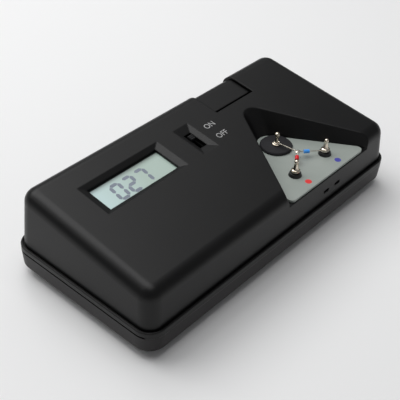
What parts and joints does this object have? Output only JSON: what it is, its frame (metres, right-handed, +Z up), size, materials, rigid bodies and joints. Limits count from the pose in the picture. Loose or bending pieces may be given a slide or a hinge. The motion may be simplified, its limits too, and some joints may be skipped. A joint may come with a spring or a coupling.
{
  "type": "soldering tip thermometer",
  "caption": "Wedge-shaped bench instrument with a numeric display, a slide switch and an open bay where terminals hold a thermocouple sensor that reads a soldering tip's heat.",
  "frame": {"origin": "middle of the case's outline, on the surface that the feet stand on", "axes": "+X from the display end to the sensor end, +Y from the user's side to the back, +Z up"},
  "size_m": [0.14, 0.068, 0.0362],
  "materials": {
    "case_plastic": "matte moulded",
    "foot_rubber": "matte",
    "screw_steel": "zinc plated",
    "lcd_front": "polarised glass",
    "lcd_back": "reflective glass",
    "black_plastic": "moulded",
    "board_green": "solder mask",
    "tin": "tinned",
    "trimmer_blue": "moulded",
    "resistor_body": "coated",
    "plate_grey": "satin painted",
    "nickel": "nickel plated",
    "sensor_wire": "drawn wire",
    "red_sleeving": "sleeving",
    "blue_sleeving": "sleeving",
    "black_lead": "insulation",
    "battery_jacket": "printed jacket"
  },
  "bodies": {
    "case": {"upper_housing": "case_plastic", "lower_cover": "case_plastic", "rubber_feet": "foot_rubber", "lcd_connectors": "foot_rubber", "case_screws": "screw_steel", "board_screws": "screw_steel", "lcd_front_glass": "lcd_front", "lcd_back_glass": "lcd_back", "lcd_frame": "black_plastic", "converter_chip": "black_plastic", "red_terminal_bush": "black_plastic", "blue_terminal_bush": "black_plastic", "slide_guide": "black_plastic", "probe_socket": "black_plastic", "battery_snap": "black_plastic", "circuit_board": "board_green", "chip_leads": "tin", "switch_contacts": "tin", "switch_body": "tin", "solder_tags": "tin", "probe_contacts": "tin", "battery_studs": "tin", "capacitors": "tin", "trimmer": "trimmer_blue", "resistors": "resistor_body", "sensor_plate": "plate_grey", "red_terminal_post": "nickel", "blue_terminal_post": "nickel", "terminal_nuts": "nickel", "sensor_bead": "sensor_wire", "sensor_stay_wire": "sensor_wire", "red_lead": "sensor_wire", "blue_lead": "sensor_wire", "red_ring": "sensor_wire", "blue_ring": "sensor_wire", "release_spring": "sensor_wire", "red_sleeve": "red_sleeving", "red_terminal_lead": "red_sleeving", "red_battery_lead": "red_sleeving", "blue_sleeve": "blue_sleeving", "blue_terminal_lead": "blue_sleeving", "black_battery_lead": "black_lead", "battery": "battery_jacket"},
    "switch": {"switch_knob": "black_plastic"},
    "release": {"release_slide": "case_plastic", "sliding_terminal_post": "nickel", "sliding_terminal_disc": "black_plastic", "sliding_terminal_nut": "nickel", "sensor_stay_ring": "sensor_wire"},
    "door": {"battery_door": "case_plastic"}
  },
  "joints": [
    {"name": "power_switch", "type": "slide", "parent": "case", "child": "switch", "axis": [0, -0.9913, -0.1318], "range_m": [0, 0.004]},
    {"name": "sensor_release", "type": "slide", "parent": "case", "child": "release", "axis": [0, -1, 0], "range_m": [0, 0.0013], "stiffness_N_per_m": 500, "springref_m": -0.002, "deforming": ["release_spring", "sensor_stay_wire"]},
    {"name": "battery_door", "type": "hinge", "parent": "case", "child": "door", "pos_m": [0.0021, 0.01575, 0.0035], "axis": [0, -1, 0], "range_deg": [0, 50]}
  ]
}
